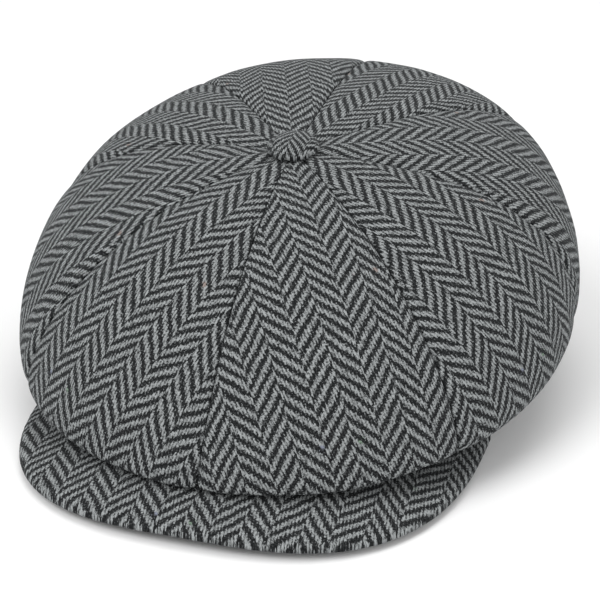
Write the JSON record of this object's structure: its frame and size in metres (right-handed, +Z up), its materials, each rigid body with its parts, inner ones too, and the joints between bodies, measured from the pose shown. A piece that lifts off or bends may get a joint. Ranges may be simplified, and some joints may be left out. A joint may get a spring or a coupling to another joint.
{
  "type": "newsboy cap",
  "caption": "Full panelled newsboy cap in grey herringbone tweed, with a covered top button, a lined crown, a headband and a short stiff peak that flexes.",
  "frame": {"origin": "centre of the head opening, on the plane that the headband's lower edge rests on, which is the bottom centre of the whole cap", "axes": "+Z up through the crown, front of the cap (peak) towards -Y, wearer's left towards +X"},
  "size_m": [0.2778, 0.3274, 0.1326],
  "materials": {
    "herringbone_tweed": "woollen herringbone tweed in near-black and cool light grey, soft napped surface",
    "lining_satin": "plain black satin lining with a soft sheen",
    "sweatband_twill": "black cotton twill",
    "band_canvas": "stiffened canvas, unbleached",
    "label_ribbon": "blank woven ribbon",
    "peak_board": "thin flexible polyethylene sheet",
    "button_steel": "plated sheet steel"
  },
  "bodies": {
    "crown": {"crown_panel_1": "herringbone_tweed", "crown_panel_2": "herringbone_tweed", "crown_panel_3": "herringbone_tweed", "crown_panel_4": "herringbone_tweed", "crown_panel_5": "herringbone_tweed", "crown_panel_6": "herringbone_tweed", "crown_panel_7": "herringbone_tweed", "crown_panel_8": "herringbone_tweed", "lining_panel_1": "lining_satin", "lining_panel_2": "lining_satin", "lining_panel_3": "lining_satin", "lining_panel_4": "lining_satin", "lining_panel_5": "lining_satin", "lining_panel_6": "lining_satin", "lining_panel_7": "lining_satin", "lining_panel_8": "lining_satin", "headband_front": "herringbone_tweed", "headband_rear": "herringbone_tweed", "headband_stiffener": "band_canvas", "sweatband": "sweatband_twill", "blank_label": "label_ribbon", "button_cover": "herringbone_tweed", "button_shell": "button_steel", "button_back": "button_steel", "button_washer": "button_steel"},
    "peak": {"peak_top_cover": "herringbone_tweed", "peak_board": "peak_board", "peak_under_cover": "herringbone_tweed"}
  },
  "joints": [
    {"name": "peak_flex", "type": "hinge", "parent": "crown", "child": "peak", "pos_m": [0, -0.028, 0.006], "axis": [1, 0, 0], "range_deg": [0, 4], "stiffness_Nm_per_rad": 1.5}
  ]
}
